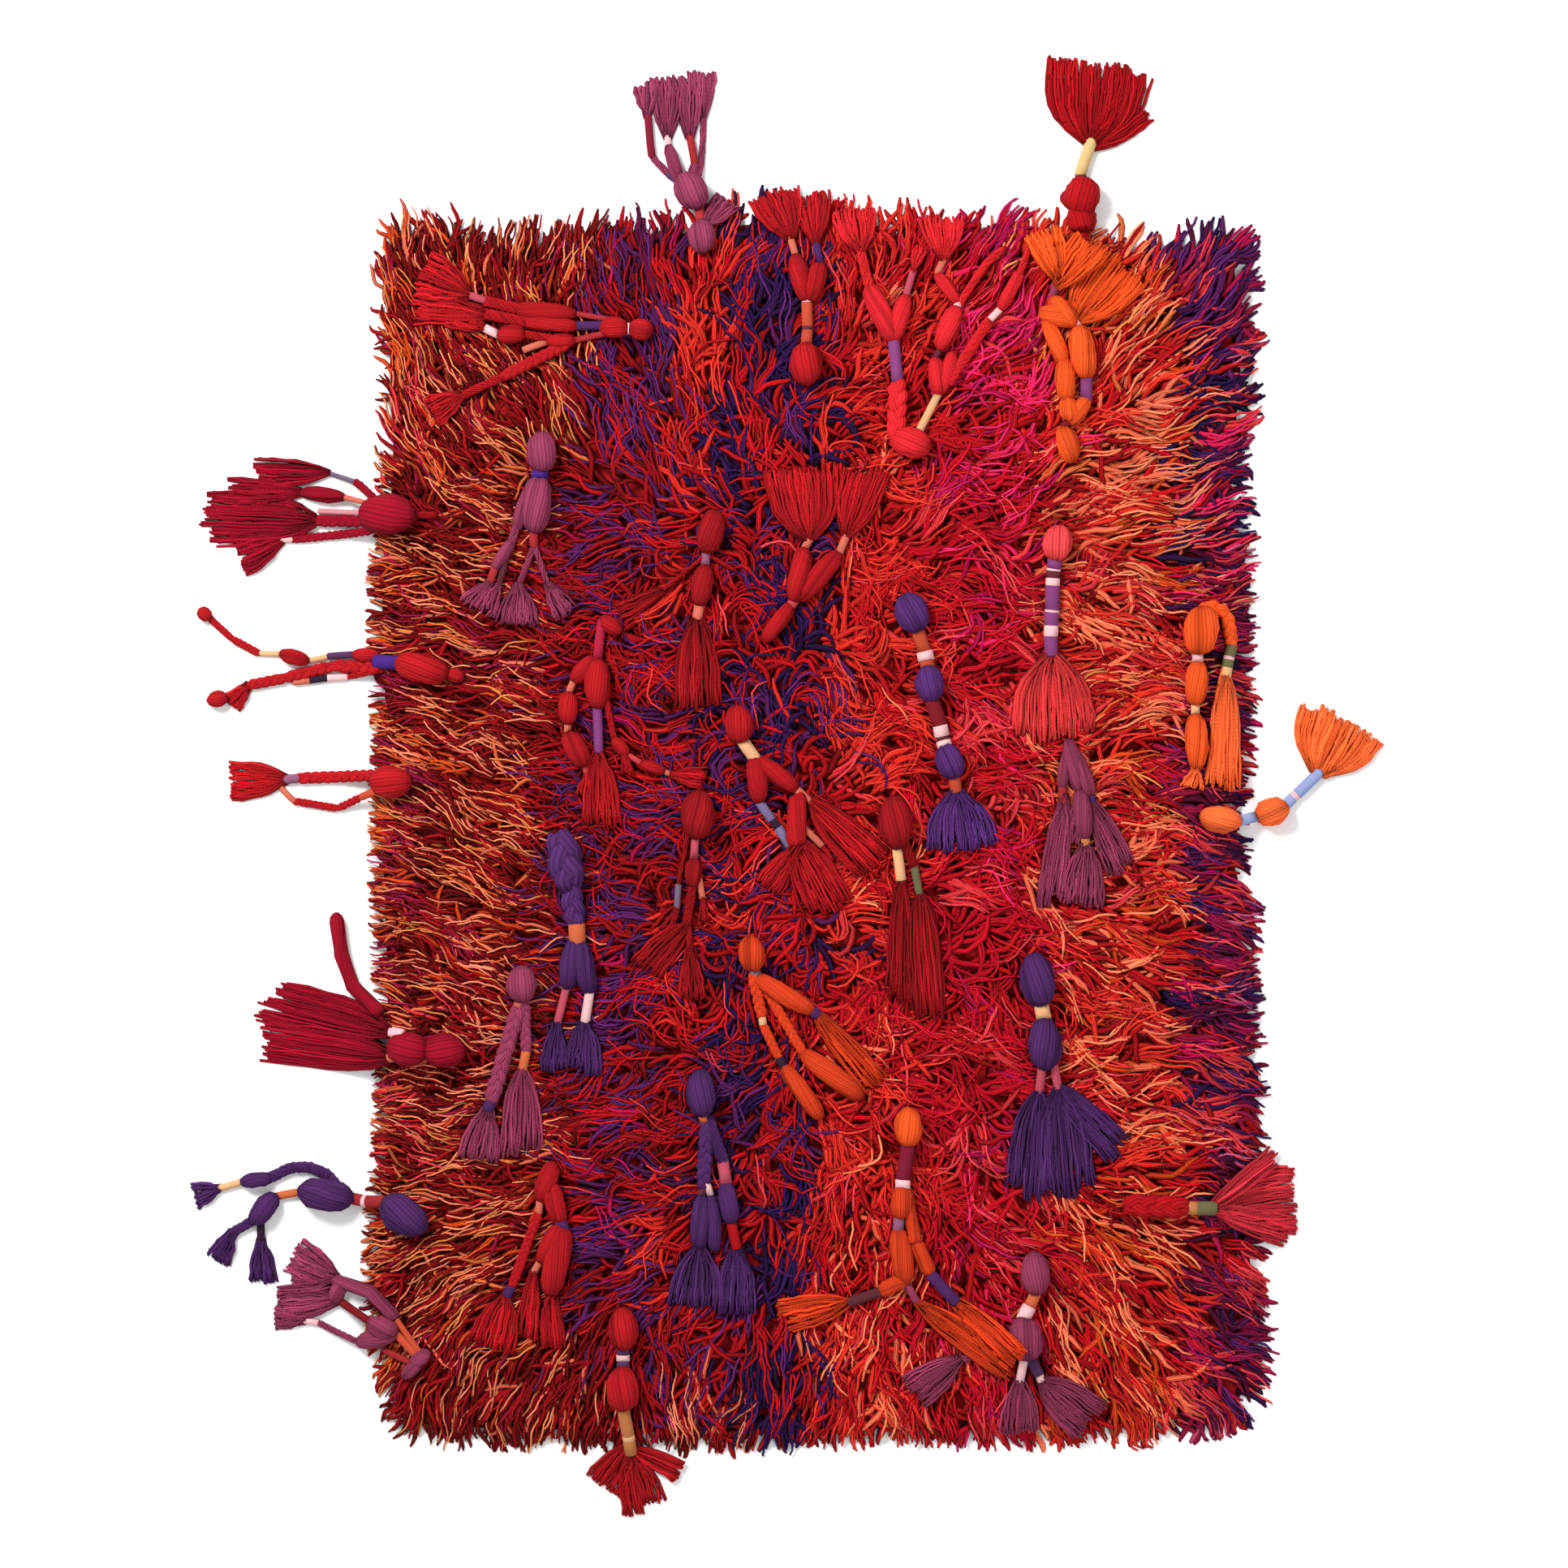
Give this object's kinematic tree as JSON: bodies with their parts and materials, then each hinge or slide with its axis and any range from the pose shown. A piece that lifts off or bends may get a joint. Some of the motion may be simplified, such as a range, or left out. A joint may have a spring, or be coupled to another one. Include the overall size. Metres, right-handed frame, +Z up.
{
  "type": "rya rug",
  "caption": "Flat shag rug of long knotted wool pile in soft vertical bands of colour, with tied and wrapped yarn tassels over its face and past its edges",
  "frame": {"origin": "on the floor under the middle of the woven ground, at the middle of the flat underside", "axes": "+X across the rug to the right as seen in the picture, +Y along its length towards the picture's top, +Z up out of the pile"},
  "size_m": [1.4664, 1.7984, 0.0637],
  "materials": {
    "pile": "matte",
    "yarn_coral": "matte",
    "yarn_crimson": "matte",
    "yarn_indigo": "matte",
    "yarn_madder": "matte",
    "yarn_mauve": "matte",
    "yarn_orange": "matte",
    "yarn_red": "matte",
    "yarn_scarlet": "matte",
    "yarn_vermilion": "matte"
  },
  "bodies": {
    "root": {"rug": "pile", "tassel_left_1": "yarn_crimson", "tassel_left_2": "yarn_scarlet", "tassel_left_3": "yarn_scarlet", "tassel_left_4": "yarn_crimson", "tassel_left_6": "yarn_mauve", "tassel_left_5": "yarn_indigo", "tassel_upper_1": "yarn_scarlet", "tassel_top_2": "yarn_red", "tassel_top_1": "yarn_mauve", "tassel_upper_2": "yarn_madder", "tassel_upper_3": "yarn_vermilion", "tassel_upper_4": "yarn_orange", "tassel_field_1": "yarn_mauve", "tassel_field_2": "yarn_madder", "tassel_field_3": "yarn_scarlet", "tassel_field_4": "yarn_scarlet", "tassel_field_5": "yarn_scarlet", "tassel_field_6": "yarn_indigo", "tassel_field_8": "yarn_mauve", "tassel_field_7": "yarn_coral", "tassel_field_9": "yarn_orange", "tassel_right_1": "yarn_orange", "tassel_right_2": "yarn_coral", "tassel_field_10": "yarn_indigo", "tassel_field_11": "yarn_mauve", "tassel_field_12": "yarn_madder", "tassel_field_13": "yarn_madder", "tassel_field_14": "yarn_orange", "tassel_field_15": "yarn_indigo", "tassel_field_16": "yarn_indigo", "tassel_field_17": "yarn_scarlet", "tassel_field_18": "yarn_scarlet", "tassel_field_20": "yarn_mauve", "tassel_field_19": "yarn_orange"}
  },
  "joints": []
}
